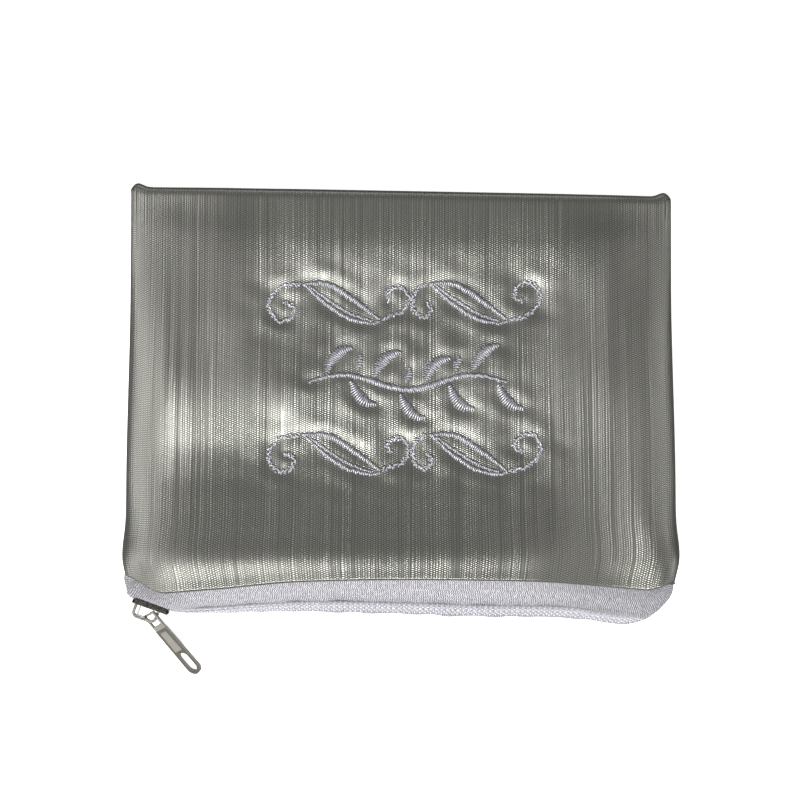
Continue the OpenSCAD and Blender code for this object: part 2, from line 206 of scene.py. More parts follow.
# ---- embroidery strokes: middle, points, half width, drawn on the front in plan ---------------
UPPER_AT = np.array([1.3, 22.8])
LOWER_AT = np.array([1.3, -12.6])
SPRIG_AT = np.array([1.6, 6.0])
SPRIG_L = 46
SPRIG_LEAVES = 8
SPRIG_BUDS = 3
RUNNING_W = 0.42
RIGHT = np.array([29.8, 0])


def leaf_strokes(at):
    """The satin leaf of a scroll: two wide strokes and a fine one between them."""
    return [
        (at, [[-24.2, 4.6], [-18.4, 4.5], [-12.4, 0.9], [-6.4, -3.6]], 0.8),
        (at, [[-23.8, 4.4], [-19.4, 0.4], [-14, -3.2], [-8.6, -4.6], [-6.4, -4.2]], 0.56),
        (at, [[-22.6, 4.0], [-18.2, 0.9], [-13, -2.3], [-8.4, -4.0]], 0.26),
    ]


def scroll_left(at):
    curl = [[-24.9, 4.6], [-30, 3.6], [-32.3, 0], [-30.4, -3.8], [-27.2, -3.4],
            [-26.4, -0.8], [-28.6, 0.3]]
    return leaf_strokes(at) + [(at, curl, RUNNING_W)]


def scroll_right(at):
    curl = [[24.2, -3.9], [29, -2.4], [31.4, 1.2], [29.8, 4.6], [26.3, 4.2], [25.4, 1.8],
            [27.2, 0.6]]
    return leaf_strokes(at + RIGHT) + [(at, curl, RUNNING_W)]


def curls(at):
    return [
        (at, [[-5.4, -3.4], [-1, -1.8], [0.6, 1.4], [-1.6, 3.9], [-4.4, 2.8], [-3.9, 0.6]],
         RUNNING_W),
        (at, [[4.4, 4.6], [1.9, 2.6], [1.6, -1.2], [3.8, -3.4], [5.9, -1.6], [4.9, 0.2]],
         RUNNING_W),
    ]


def stem(t):
    """The sprig's wavy stem, at t from 0 to 1."""
    return np.array([(t - 0.5) * SPRIG_L, -1.6 + 1.7 * math.sin(math.tau * 1.5 * t)])


def sprig_leaves():
    strokes = []
    for k in range(SPRIG_LEAVES):
        up = 1 if k % 2 == 0 else -1
        root = stem((k + 0.6) / SPRIG_LEAVES) + [0.6, up * 1.5]
        tips = [[0, 0], [1.2, up * 2.6], [3.2, up * 4.6], [5.6, up * 5.4]]
        strokes.append((SPRIG_AT, [root + p for p in tips], 1.4))
    return strokes


def sprig_buds():
    strokes = []
    for k in range(SPRIG_BUDS):
        root = stem((2 * k + 1.9) / SPRIG_LEAVES) + [0.4, 1.9]
        strokes.append((SPRIG_AT, [root, root + [0.4, 1.5], root + [0.6, 2.9]], 0.95))
    return strokes


EMBROIDERY = {
    "upper_scroll_left": scroll_left(UPPER_AT),
    "upper_scroll_right": scroll_right(UPPER_AT),
    "upper_curls": curls(UPPER_AT),
    "lower_scroll_left": scroll_left(LOWER_AT),
    "lower_scroll_right": scroll_right(LOWER_AT),
    "lower_curls": curls(LOWER_AT),
    "sprig_stem": [(SPRIG_AT, [stem(t) for t in np.linspace(0, 1, 11)], 0.75)],
    "sprig_leaves": sprig_leaves(),
    "sprig_buds": sprig_buds(),
}


def stroke_line(stroke, spacing):
    """Middle points, side directions and half widths along a stroke, which tapers to its ends."""
    at, points, w = stroke
    fine = curve(points, np.linspace(0, 1, 200)) + at
    length = np.linalg.norm(np.diff(fine, axis=0), axis=1).sum()
    mid = even(fine, max(4, int(length / spacing)))
    along = unit(np.gradient(mid, axis=0))
    side = np.stack([-along[:, 1], along[:, 0]], 1)
    t = np.linspace(0, 1, len(mid))
    return mid, side, w * (0.35 + 0.65 * np.sin(math.pi * t))


def stitched_samples():
    """Points along every stroke with their half widths."""
    rows = []
    for strokes in EMBROIDERY.values():
        for stroke in strokes:
            mid, _, w = stroke_line(stroke, 0.8)
            rows.append(np.column_stack([mid, w]))
    return np.concatenate(rows)


STITCHED = stitched_samples()


def off_stitches(x, y):
    """Distance from each point to the nearest stroke's edge, below 0 under the stitches."""
    flat = np.column_stack([np.ravel(x), np.ravel(y)])
    best = np.full(len(flat), 99.0)
    for sx, sy, w in STITCHED:
        best = np.minimum(best, np.hypot(flat[:, 0] - sx, flat[:, 1] - sy) - w)
    return best.reshape(np.shape(x))


# soft swells and dents of the front: middle x, y, half widths, height
SWELLS = [
    (-30, 22, 12, 12, -0.15), (30, 30, 10, 12, -0.35),
    (-54, 3, 7, 13, 0.85), (-42, 19, 9, 9, 0.55), (-26, 1, 7, 6, 0.45), (46, 22, 9, 20, 0.3),
    (19, 24, 8, 5, 0.4), (-4, 5, 14, 9, -0.35), (33, 2, 8, 12, -0.35), (-55, 40, 8, 12, 0.4),
    (38, -14, 12, 7, 0.4),
    (52, 34, 12, 12, 0.5), (-42, 33, 12, 10, 0.5), (58, -20, 8, 12, 0.5),
]


def front_relief(x, y):
    """What the leather does beyond its crown: puckers round the stitches, swells and dents."""
    off = off_stitches(x, y)
    pucker = -0.14 * bell(0, 1.2, np.maximum(off, 0)) + 0.04 * bell(2.3, 1.2, off)
    near = bell(0, 6, np.maximum(off, 0))
    inside = ramp(0, 12, half_at(y) - np.abs(x)) * ramp(47, 38, y)
    swell = sum(high * np.exp(-((x - at_x) / wide) ** 2 - ((y - at_y) / long) ** 2)
                for at_x, at_y, wide, long, high in SWELLS)
    right = (0.3 * ramp(20, -40, y) - 3 * ramp(-17, -39, y)) * ramp(28, 50, x)
    lumps = 0.2 * near * ripple(x, y, 8, 3) + 0.12 * ripple(x, y, 30, 5)
    shade = 1.3 * ramp(-9.5, -24, y) + 0.4 * ramp(-31, -38, y) * ramp(42, 8, x)
    shade = shade * ramp(68, 34, np.abs(x + 6))
    return (pucker + lumps + swell + right + shade) * inside


def shoulder(x, y):
    """The fold is fuller than its seams, and the front falls away from it a little."""
    full = (2.4 + 0.7 * ramp(-10, -45, x) + 0.4 * ramp(30, 50, x)) * (1 - ramp(47, 14, y))
    middle = 1.3 * (1 - ramp(38, 21, y)) * ramp(44, 24, np.abs(x - 6))
    return (full + middle) * ramp(0, np.where(np.less(x, 0), 26, 18), half_at(y) - np.abs(x))


def lip_drop(x, y):
    """The front dips a little before the mouth, and its turned edge stands up again."""
    off = y - mouth_y(x)
    return 0.12 * ramp(6.5, 1.9, off) - 0.07 * ramp(1.9, 0, off)


def front_top(x, y):
    return front_z(x, y) + front_relief(x, y) + shoulder(x, y) - lip_drop(x, y)


# ---- how far the mouth opens, a lens between the left seam and the slider ---------------------
def lens(x):
    """How far the mouth opens at each x, from 0 to 1."""
    s = np.clip((np.asarray(x, float) + ZIP_END_X) / (ZIP_OPEN_X + ZIP_END_X), 0, 1)
    return np.sin(math.pi * s) ** 1.4


def bend_with_mouth(piece, weight=None):
    """Bakes the piece's placement into its mesh; nothing here bends it as the mouth opens."""
    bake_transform(piece)
    if weight is None:
        x = np.array([v.co.x for v in piece.data.vertices]) / MM
        weight = lens(x)


def belongs(piece, body, node):
    """Hangs a back piece on the back's empty, bakes a front piece's placement, and hides the CAD
    node the piece stands for.
    """
    if body == "front":
        bend_with_mouth(piece)
    else:
        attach(piece, "back")
    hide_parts(node)


# ---- making meshes ----------------------------------------------------------------------------
def new_piece(name, verts, faces, material, uv):
    """An object with smooth faces; verts are in millimetres, and uv has one row for each."""
    mesh = bpy.data.meshes.new(name)
    mesh.from_pydata((np.asarray(verts) * MM).tolist(), [], faces)
    layer = mesh.uv_layers.new(name="flat")
    loops = np.zeros(len(mesh.loops), int)
    mesh.loops.foreach_get("vertex_index", loops)
    layer.data.foreach_set("uv", np.asarray(uv, float)[loops].ravel())
    mesh.materials.append(material)
    mesh.polygons.foreach_set("use_smooth", [True] * len(mesh.polygons))
    piece = bpy.data.objects.new(name, mesh)
    bpy.context.scene.collection.objects.link(piece)
    return piece


def grid_piece(name, grid, material, uv=None):
    """A sheet of quads from rows of points; uv is the flat place of each point, in mm."""
    rows, cols = grid.shape[:2]
    if uv is None:
        along = np.linalg.norm(np.diff(grid, axis=0, prepend=grid[:1]), axis=2)
        across = np.linalg.norm(np.diff(grid, axis=1, prepend=grid[:, :1]), axis=2)
        uv = np.stack([np.cumsum(across, 1), np.cumsum(along, 0)], 2)
    n = np.arange(rows * cols).reshape(rows, cols)
    quads = np.stack([n[:-1, :-1], n[:-1, 1:], n[1:, 1:], n[1:, :-1]], 2).reshape(-1, 4)
    return new_piece(name, grid.reshape(-1, 3), quads.tolist(), material, uv.reshape(-1, 2))


def thicken(piece, thickness, offset):
    """Makes a sheet as thick as the cloth is: along its normals with offset 1, both ways with 0."""
    m = piece.modifiers.new("thickness", "SOLIDIFY")
    m.thickness = thickness * MM
    m.offset = offset
    m.use_even_offset = False


def tube_piece(name, line, radius, material):
    """A round thread along the line."""
    n, sides = len(line), 8
    along = unit(np.gradient(line, axis=0))
    # any direction that no stretch of the thread runs along
    a = unit(np.cross(along, [0.02, 0.05, 1.0]))
    b = np.cross(a, along)
    turn = np.arange(sides) * math.tau / sides
    ring = a[:, None] * np.cos(turn)[None, :, None]
    ring = ring + b[:, None] * np.sin(turn)[None, :, None]
    verts = (line[:, None] + radius * ring).reshape(-1, 3)
    uv = np.stack(np.broadcast_arrays(np.arange(sides)[None], length_at(line)[:, None]), 2)
    i = np.arange(n * sides).reshape(n, sides)
    nxt = np.roll(i, -1, 1)
    faces = np.stack([i[:-1], nxt[:-1], nxt[1:], i[1:]], 2).reshape(-1, 4).tolist()
    faces += [i[0, ::-1].tolist(), i[-1].tolist()]
    return new_piece(name, verts, faces, material, uv.reshape(-1, 2))


def stitches_piece(name, a, b, up, bulge, radius, material):
    """One short thread from each point of a to the same point of b, bulging along up."""
    steps = sides = 6
    t = np.linspace(0, 1, steps + 1)[None, :, None]
    bow = np.sin(math.pi * t) ** 0.7
    a, b, up = a[:, None], b[:, None], up[:, None]
    line = mix(a, b, t) + up * bow * np.reshape(bulge, (-1, 1, 1))
    side = unit(np.cross(b - a, up))
    turn = np.arange(sides) * math.tau / sides
    r = radius * (0.55 + 0.45 * np.sin(math.pi * t) ** 0.5)
    ring = side[..., None, :] * np.cos(turn)[None, None, :, None]
    ring = ring + up[..., None, :] * np.sin(turn)[None, None, :, None]
    verts = (line[..., None, :] + r[..., None] * ring).reshape(-1, 3)
    n = len(a)
    i = np.arange(n * (steps + 1) * sides).reshape(n, steps + 1, sides)
    nxt = np.roll(i, -1, 2)
    quads = np.stack([i[:, :-1], nxt[:, :-1], nxt[:, 1:], i[:, 1:]], -1).reshape(-1, 4)
    faces = quads.tolist() + i[:, 0, ::-1].tolist() + i[:, -1].tolist()
    u = np.broadcast_to(np.arange(sides)[None, None], i.shape)
    v = np.broadcast_to(np.linspace(0, 1, steps + 1)[None, :, None], i.shape)
    return new_piece(name, verts, faces, material, np.stack([u, v], -1).reshape(-1, 2))


# ---- materials --------------------------------------------------------------------------------
class Nodes:
    """A material's node tree, with a short way to add and join nodes."""

    def __init__(self, name, **sockets):
        self.material = bpy.data.materials.new(name)
        self.material.use_nodes = True
        self.tree = self.material.node_tree
        self.shader = self.tree.nodes["Principled BSDF"]
        for key, value in sockets.items():
            self.shader.inputs[key.replace("_", " ")].default_value = value

    def put(self, socket, value):
        if isinstance(value, bpy.types.NodeSocket):
            self.tree.links.new(value, socket)
        else:
            socket.default_value = value

    def math(self, operation, *values):
        node = self.tree.nodes.new("ShaderNodeMath")
        node.operation = operation
        for socket, value in zip(node.inputs, values):
            self.put(socket, value)
        return node.outputs[0]

    def times(self, a, b):
        return self.math("MULTIPLY", a, b)

    def plus(self, a, b):
        return self.math("ADD", a, b)

    def minus(self, a, b):
        return self.math("SUBTRACT", a, b)

    def wave(self, value, length):
        """A sine wave with that many millimetres from crest to crest."""
        return self.math("SINE", self.times(value, math.tau / length))

    def flat(self):
        """The place on the flat sheet, or round and along a thread, as two sockets."""
        node = self.tree.nodes.new("ShaderNodeUVMap")
        node.uv_map = "flat"
        split = self.tree.nodes.new("ShaderNodeSeparateXYZ")
        self.put(split.inputs[0], node.outputs[0])
        return split.outputs[0], split.outputs[1]

    def place(self):
        """The place in the object, in millimetres, as three sockets."""
        node = self.tree.nodes.new("ShaderNodeTexCoord")
        scale = self.tree.nodes.new("ShaderNodeVectorMath")
        scale.operation = "SCALE"
        self.put(scale.inputs[0], node.outputs["Object"])
        scale.inputs["Scale"].default_value = 1 / MM
        split = self.tree.nodes.new("ShaderNodeSeparateXYZ")
        self.put(split.inputs[0], scale.outputs[0])
        return split.outputs

    def noise(self, x, y, z=0.0, detail=2.0, rough=0.5):
        """Smooth noise of each place, its lumps one unit across."""
        join = self.tree.nodes.new("ShaderNodeCombineXYZ")
        for socket, value in zip(join.inputs, (x, y, z)):
            self.put(socket, value)
        node = self.tree.nodes.new("ShaderNodeTexNoise")
        self.put(node.inputs["Vector"], join.outputs[0])
        node.inputs["Scale"].default_value = 1.0
        node.inputs["Detail"].default_value = detail
        node.inputs["Roughness"].default_value = rough
        return node.outputs["Fac"]

    def band(self, value, low, high, to_low=0.0, to_high=1.0):
        """Goes smoothly from to_low to to_high as the value goes from low to high."""
        node = self.tree.nodes.new("ShaderNodeMapRange")
        node.interpolation_type = "SMOOTHSTEP"
        self.put(node.inputs[0], value)
        for k, number in enumerate((low, high, to_low, to_high), 1):
            node.inputs[k].default_value = number
        return node.outputs[0]

    def tint(self, factor, low, high):
        """The colour between low and high at a factor from 0 to 1."""
        node = self.tree.nodes.new("ShaderNodeValToRGB")
        node.color_ramp.elements[0].color = (*low, 1)
        node.color_ramp.elements[1].color = (*high, 1)
        self.put(node.inputs[0], factor)
        return node.outputs[0]

    def bump(self, height, depth, tilt=None):
        """Bump from a height between 0 and 1; depth is its full height in millimetres.
        tilt leans the surface along Y by that much more."""
        node = self.tree.nodes.new("ShaderNodeBump")
        node.inputs["Distance"].default_value = depth * MM
        self.put(node.inputs["Height"], height)
        normal = node.outputs[0]
        if tilt is not None:
            lean = self.tree.nodes.new("ShaderNodeCombineXYZ")
            self.put(lean.inputs[1], tilt)
            for operation, values in (("ADD", (normal, lean.outputs[0])), ("NORMALIZE", ())):
                node = self.tree.nodes.new("ShaderNodeVectorMath")
                node.operation = operation
                for socket, value in zip(node.inputs, values or (normal,)):
                    self.put(socket, value)
                normal = node.outputs[0]
        self.put(self.shader.inputs["Normal"], normal)

    def set(self, name, value):
        self.put(self.shader.inputs[name], value)


def leather_material():
    """Metallic faux leather: fine ribs from the fold to the zip, woven across like a twill."""
    m = Nodes("silver_leather", Metallic=0.85, Specular_IOR_Level=0.5)
    rib_pitch, twill_pitch = 0.6, 0.5
    u, v = m.flat()
    sway = m.noise(m.times(u, 0.4), m.times(v, 0.012), detail=2)
    column = m.plus(m.math("DIVIDE", u, rib_pitch), m.times(sway, 2.2))
    rib = m.times(m.math("COSINE", m.times(column, math.tau)), -1.0)
    odd = m.math("MODULO", m.math("FLOOR", column), 2.0)
    tick = m.math("SINE", m.plus(m.times(v, math.tau / twill_pitch), m.times(odd, math.pi)))
    # some ribs sink into grooves, and some are woven plainer than the rest
    groove = m.band(m.noise(m.times(column, 0.83), m.times(v, 0.006), 7.0, detail=1), 0.6, 0.68)
    plain = m.band(m.noise(m.times(column, 0.5), m.times(v, 0.008), 3.0, detail=1), 0.6, 0.68)
    # the weave is pulled smooth round the fold
    from_fold = m.math("ABSOLUTE", m.minus(v, FOLD_V))
    woven = m.times(m.minus(1.0, m.times(plain, 0.8)), m.band(from_fold, 5.0, 17.0, 0.1, 0.32))
    crest = m.plus(m.times(rib, 0.5), 0.5)
    grain = m.noise(m.times(u, 5.0), m.times(v, 5.0), detail=3)
    fine = m.plus(m.times(m.times(tick, woven), crest), m.plus(m.times(grain, 0.25), 0.375))
    height = m.minus(m.plus(fine, m.times(rib, 0.16)), m.times(groove, 0.3))
    # ribs lean a little more or less, which shows only where the leather catches the light
    own = m.noise(m.times(m.math("FLOOR", column), 3.7), m.times(v, 0.02), 5.0, detail=0)
    lean = m.noise(m.times(column, 0.9), m.times(v, 0.01), 11.0, detail=3, rough=0.7)
    m.bump(height, 0.065, m.plus(m.band(lean, 0.3, 0.7, 0.055, -0.05),
                                 m.band(own, 0.25, 0.75, 0.018, -0.018)))
    # the colour darkens where the weave sinks, between the ribs and in the twill's hollows: painted
    # groove shade over the grain's random tone
    weave_with_painted_groove_shade = m.plus(fine, m.times(rib, 0.05))
    m.set("Base Color", m.tint(m.band(weave_with_painted_groove_shade, 0.2, 0.85), (0.1, 0.1, 0.086),
                               (0.54, 0.535, 0.493)))
    m.set("Roughness", m.band(fine, 0.15, 0.85, 0.4, 0.28))
    return m.material


def lining_material():
    """Thin grey plain weave."""
    m = Nodes("grey_lining", Sheen_Weight=0.3)
    thread_pitch = 0.35
    u, v = m.flat()
    weave = m.times(m.wave(u, thread_pitch), m.wave(v, thread_pitch))
    fuzz = m.noise(m.times(u, 3.0), m.times(v, 3.0), detail=4)
    height = m.plus(m.times(weave, 0.3), fuzz)
    m.bump(height, 0.06)
    m.set("Base Color", m.tint(m.band(height, 0.1, 0.9), (0.2, 0.2, 0.195), (0.34, 0.34, 0.33)))
    m.set("Roughness", m.band(fuzz, 0.3, 0.7, 0.75, 0.9))
    return m.material


def tape_material():
    """Woven polyester: a fine herringbone whose slant turns every 0.8 mm across the tape."""
    m = Nodes("zip_tape", Sheen_Weight=0.25)
    slant_width, rib_pitch, warp_pitch = 0.8, 0.52, 0.44
    u, v = m.flat()
    turn = m.math("PINGPONG", u, slant_width)
    rib = m.wave(m.plus(v, turn), rib_pitch)
    warp = m.wave(u, warp_pitch)
    fuzz = m.noise(m.times(u, 2.6), m.times(v, 2.6), detail=3)
    weave = m.times(m.times(rib, warp), 0.5)
    height = m.plus(weave, m.times(fuzz, 1.1))
    m.bump(height, 0.25)
    m.set("Base Color", m.tint(m.band(height, 0.3, 0.9), (0.2, 0.195, 0.235),
                               (0.9, 0.885, 0.92)))
    m.set("Roughness", m.band(fuzz, 0.3, 0.7, 0.65, 0.85))
    return m.material


def thread_material(name, dark, light, roughness, sheen):
    """Twisted thread: strands wind round it, and its shade drifts from stitch to stitch."""
    m = Nodes(name, Sheen_Weight=sheen, Metallic=0.2, Specular_IOR_Level=1.0)
    u, v = m.flat()
    x, y, _ = m.place()
    strand = m.math("SINE", m.plus(m.times(v, 7.0), m.times(u, math.tau / 3)))
    shade = m.noise(m.times(x, 2.2), m.times(y, 2.2), detail=3)
    height = m.plus(m.times(strand, 0.25), shade)
    m.bump(height, 0.05)
    m.set("Base Color", m.tint(m.band(height, 0.2, 0.9), dark, light))
    m.set("Roughness", m.band(shade, 0.3, 0.7, roughness, roughness + 0.12))
    return m.material


def coil_material():
    """Dull white nylon that lets a little light in."""
    m = Nodes("nylon_coil", Subsurface_Weight=0.15, Coat_Weight=0.2)
    m.shader.inputs["Subsurface Radius"].default_value = (0.0006, 0.0006, 0.0008)
    x, y, z = m.place()
    shade = m.noise(m.times(x, 1.5), m.times(y, 1.5), z, detail=3)
    m.bump(shade, 0.02)
    m.set("Base Color", m.tint(m.band(shade, 0.3, 0.7), (0.45, 0.445, 0.49),
                               (0.52, 0.515, 0.56)))
    m.set("Roughness", m.band(shade, 0.3, 0.7, 0.32, 0.45))
    return m.material


def metal_material(name, dark, light, rough):
    """Plated metal: faint grain, tumbling marks and dull patches."""
    m = Nodes(name, Metallic=1.0)
    x, y, z = m.place()
    grain = m.noise(m.times(x, 2.0), m.times(y, 2.0), m.times(z, 2.0), detail=5, rough=0.6)
    marks = m.noise(m.times(x, 0.6), m.times(y, 9.0), m.times(z, 9.0), detail=2)
    height = m.plus(grain, m.times(marks, 0.4))
    m.bump(height, 0.005)
    m.set("Base Color", m.tint(m.band(grain, 0.35, 0.65), dark, light))
    m.set("Roughness", m.band(marks, 0.35, 0.65, rough, rough + 0.12))
    return m.material


def tab_material():
    """The tab: a pale sandblasted panel sunk between smoother rims, whose darker colour is painted
    shade on the recess walls, bevels and rims.
    """
    m = Nodes("tab_metal", Metallic=0.75)
    x, y, z = m.place()
    rise = [m.times(m.minus(place, at), part)
            for place, at, part in zip((x, y, z), TAB_PIVOT, TAB_NORMAL)]
    off = m.math("ABSOLUTE", m.plus(m.plus(rise[0], rise[1]), rise[2]))
    panel = m.band(off, 0.3, 0.43, 1.0, 0.0)
    blast = m.noise(m.times(x, 5.0), m.times(y, 5.0), m.times(z, 5.0), detail=4, rough=0.65)
    m.bump(blast, 0.008)
    # darker off the panel: painted shade on the recess walls, bevels and rims
    panel_tone_and_painted_rim_shade = m.plus(m.times(panel, 0.75), m.times(blast, 0.3))
    m.set("Base Color", m.tint(panel_tone_and_painted_rim_shade, (0.25, 0.24, 0.215), (0.52, 0.5, 0.44)))
    m.set("Roughness", m.plus(m.times(panel, 0.2), m.plus(m.times(blast, 0.5), 0.2)))
    return m.material


def backing_material():
    """White non-woven cloth with its fibres pressed one way."""
    m = Nodes("nonwoven_backing")
    u, v = m.flat()
    fibre = m.noise(m.times(u, 0.9), m.times(v, 5.0), detail=5, rough=0.7)
    m.bump(fibre, 0.05)
    m.set("Base Color", m.tint(m.band(fibre, 0.3, 0.7), (0.62, 0.62, 0.6), (0.8, 0.8, 0.78)))
    m.set("Roughness", m.band(fibre, 0.3, 0.7, 0.8, 0.95))
    return m.material


LEATHER = leather_material()
LINING = lining_material()
TAPE = tape_material()
COIL = coil_material()
ZIP_THREAD = thread_material("zip_thread", (0.75, 0.74, 0.78), (0.95, 0.94, 0.97), 0.4, 0.2)
SEAM_THREAD = thread_material("seam_thread", (0.25, 0.25, 0.23), (0.42, 0.42, 0.4), 0.6, 0.2)
SATIN = thread_material("embroidery_thread", (0.2, 0.2, 0.25), (0.95, 0.95, 1.0), 0.22, 0.0)
BACKING = backing_material()
# the slider body is the same plated metal as the cap, darkened to paint the dark reflections and
# shade it shows
SLIDER_METAL_PAINTED_DARK = metal_material("slider_metal", (0.08, 0.073, 0.065), (0.17, 0.16, 0.145), 0.2)
CAP_METAL = metal_material("cap_metal", (0.4, 0.38, 0.34), (0.66, 0.63, 0.57), 0.2)
TAB_METAL = tab_material()
SPRING = metal_material("spring_steel", (0.5, 0.5, 0.5), (0.7, 0.7, 0.7), 0.25)


# ---- the leather shell: back, fold and front in one sheet ------------------------------------
BACK_ROWS = 46
FOLD_ROWS = 15
FRONT_ROWS = 120
LIP_ROWS = 8
FLAT_COLUMNS = 129
EDGE_SHARE = 0.9993  # one more row of the front, just before its edge
LIP_OUT = 0.6  # how far a turned edge stands out, over its height
TURNED_IN = (0.8, 1.8, 3.0)  # how far behind the edge the rows inside it lie
SEAM_ALLOWANCE = (0.5, 1.6, 3.4)
FLAT_ROW, FLAT_COLUMN = 120, 80  # where the flat sheet's width and length are measured


def shell_columns():
    """x of each column: fine where the sides round over, then 0.8 mm apart."""
    turn = np.radians(np.arange(0, 90.1, 5))
    curved = FRONT_ROUND * (1 - np.cos(turn))
    inner = HALF_W - FRONT_ROUND
    flat = np.linspace(0, 2 * inner, FLAT_COLUMNS + 2)[1:-1] - inner
    return np.r_[-HALF_W + curved, flat, HALF_W - curved[::-1]]


def leather_shell():
    """One sheet for both panels, in rows from inside the back's mouth to inside the front's."""
    x0 = shell_columns()
    rows, weight = [], []

    def add(points, follow):
        rows.append(points)
        weight.append(np.broadcast_to(follow, len(points)) * lens(points[:, 0]))

    def back_row(share):
        y = mix(back_y(x0), FRONT_START, share)
        half = back_half(y)
        x = x0 * half / HALF_W
        return np.column_stack([x, skew(x, y), back_z(x, y)])

    def front_row(share):
        y = mix(FRONT_START, mouth_y(x0), share)
        x = x0 * half_at(y) / HALF_W
        return np.column_stack([x, skew(x, y), front_top(x, y)])

    for share in np.linspace(0, 1, BACK_ROWS + 1)[:-1]:
        add(back_row(share), 0)
    # round the fold; its ends are pinched flat by the side seams and stand out as small ears
    x = x0 * half_at(FOLD_Y) / HALF_W
    low, high = back_z(x, FRONT_START), front_top(x, FRONT_START + 0 * x)
    d = half_at(FOLD_Y) - np.abs(x)
    reach = FOLD_R + 0.9 * bell(1.8, 1.6, d) - 1.3 * (1 - rounded(d, 1.6))
    for a in np.linspace(0, math.pi, FOLD_ROWS):
        height = mix(low, high, (1 - math.cos(a)) / 2)
        out = reach * math.sin(a) ** 0.4
        add(np.column_stack([x, skew(x, FRONT_START + out), height]), a / math.pi)
    for share in np.r_[np.linspace(0, 1, FRONT_ROWS + 2)[1:-1], EDGE_SHARE, 1]:
        add(front_row(share), 1)

    # both mouths are turned: the edge rolls under and runs back inside
    def turned(first, second, follow):
        out = unit(first - second)
        out[:, 2] = 0
        out = unit(out)
        inside = -UP if follow else UP
        added = []
        for a in np.linspace(0, math.pi, LIP_ROWS + 1)[1:]:
            sunk = 1 - math.cos(a)
            rolled = first + LIP_R * (LIP_OUT * math.sin(a) ** 1.6 * out + sunk * inside)
            added.append(rolled * [1 - 0.005 * sunk, 1, 1])
        under = added[-1]
        for back in TURNED_IN:
            added.append((under - back * out) * [1 - 0.012 * back, 1, 1])
        return added

    back_turn = turned(rows[0], rows[1], 0)
    front_turn = turned(rows[-1], rows[-2], 1)
    for points in back_turn:
        rows.insert(0, points)
        weight.insert(0, 0 * points[:, 0])
    for points in front_turn:
        add(points, 1)

    grid = np.stack(rows)
    follow = np.stack(weight)
    # the sides turn inwards to the seam
    left = [grid[:, 0] + [far, 0, 0] for far in SEAM_ALLOWANCE[::-1]]
    right = [grid[:, -1] - [far, 0, 0] for far in SEAM_ALLOWANCE]
    grid = np.concatenate([np.stack(left, 1), grid, np.stack(right, 1)], 1)
    follow = np.pad(follow, ((0, 0), (len(left), len(right))), "edge")
    u, v = length_at(grid[FLAT_ROW]), length_at(grid[:, FLAT_COLUMN])
    uv = np.stack(np.broadcast_arrays(u[None], v[:, None]), 2)
    shell = grid_piece("leather_shell", grid, LEATHER, uv)
    bend_with_mouth(shell, follow.ravel())
    thicken(shell, LEATHER_T, 1)
    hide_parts("front_panel", "back_panel")
    return shell


# ---- linings and embroidery backing -----------------------------------------------------------
LINING_TOP = 44
LINING_SHORT = 2.6  # how far each lining ends behind its mouth's edge


def inner_sheet(name, inset, y_start, y_stop, height, material, rows=50, cols=70):
    """A sheet inside the pouch: inset from its sides, from y_start to the line y_stop."""
    x0 = np.linspace(-1, 1, cols)
    lines = []
    for share in np.linspace(0, 1, rows):
        y = mix(y_start, y_stop(x0 * HALF_W), share)
        x = x0 * (half_at(y) - inset)
        lines.append(np.column_stack([x, skew(x, y), height(x, y)]))
    return grid_piece(name, np.stack(lines), material)


def linings():
    """The cloth inside both panels, and the backing behind the embroidery."""

    def under_front(x, y):
        return front_top(x, y) - 1.3 + 0.1 * ripple(x, y, 12, 21)

    def over_back(x, y):
        return back_z(x, y) + 1.15 + 0.1 * ripple(x, y, 12, 22)

    front = inner_sheet("front_lining_cloth", 4, LINING_TOP,
                        lambda x: mouth_y(x) + LINING_SHORT, under_front, LINING)
    back = inner_sheet("back_lining_cloth", 4.5, LINING_TOP,
                       lambda x: back_y(x) + LINING_SHORT, over_back, LINING)
    for piece, word in ((front, "front"), (back, "back")):
        belongs(piece, word, f"{word}_lining")
        thicken(piece, LINING_T, 0)
    low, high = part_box("embroidery_backing")
    backing = inner_sheet("backing_sheet", 26, high[1] / MM, lambda x: 0 * x + low[1] / MM,
                          lambda x, y: front_top(x, y) - 1.0, BACKING, 40, 50)
    belongs(backing, "front", "embroidery_backing")
    thicken(backing, BACKING_T, 0)


# ---- the zip ----------------------------------------------------------------------------------
# middle of the chain of teeth, from the left seam past the slider to the right seam
CHAIN = np.array([
    [-61.2, -33.5, 4.2], [-62.4, -38, CHAIN_Z], [-63.4, -41.5, CHAIN_Z],
    *[SLIDER_AT + s * SLIDER_U for s in (-5.5, -3, 0, 3, 5.5)],
    [-47, -49.2, CHAIN_Z], [-24, -48.1, CHAIN_Z], [0, -48.4, CHAIN_Z], [18, -49, CHAIN_Z],
    [38, -49.3, CHAIN_Z], [46.8, -50.4, CHAIN_Z], [52.6, -51, CHAIN_Z],
    [57.2, -50.1, CHAIN_Z], [60.6, -47.6, CHAIN_Z], [62.6, -44.2, CHAIN_Z],
    [62.9, -39, CHAIN_Z], [61.4, -32, 4.2],
])
# at even steps along the chain: how steep the tapes stand, how far each coil's middle is from
# the chain's, and how far up and down the chain each tape bends away towards its seam
STEEP = [75, 80, 86, 90, 90, 90, 90, 88, 78, 64, 60, 60, 62, 64, 66, 68, 72, 78, 80, 80]
SPREAD = [1.1, 1.1, 1.25, 2.1, 2.2, 1.3, 1.04] + [1.02] * 13
EXIT_UP = [2.4, 2.5, 2.65, 3.8, 4.5, 4.5, 4.4, 4.3, 3.3] + [2.6] * 8 + [2.5, 2.4, 2.2]
EXIT_DOWN = [2.4, 2.8, 3.2, 4.1, 4.2, 4.2, 4.2, 4.1] + [3.9] * 8 + [3.6, 3.3, 2.9, 2.4]
LIP_INSIDE = 2.2  # how far inside each mouth the tapes are sewn
WIRE_R = 0.2
CORD_R = 0.66
DOT_R = 0.23


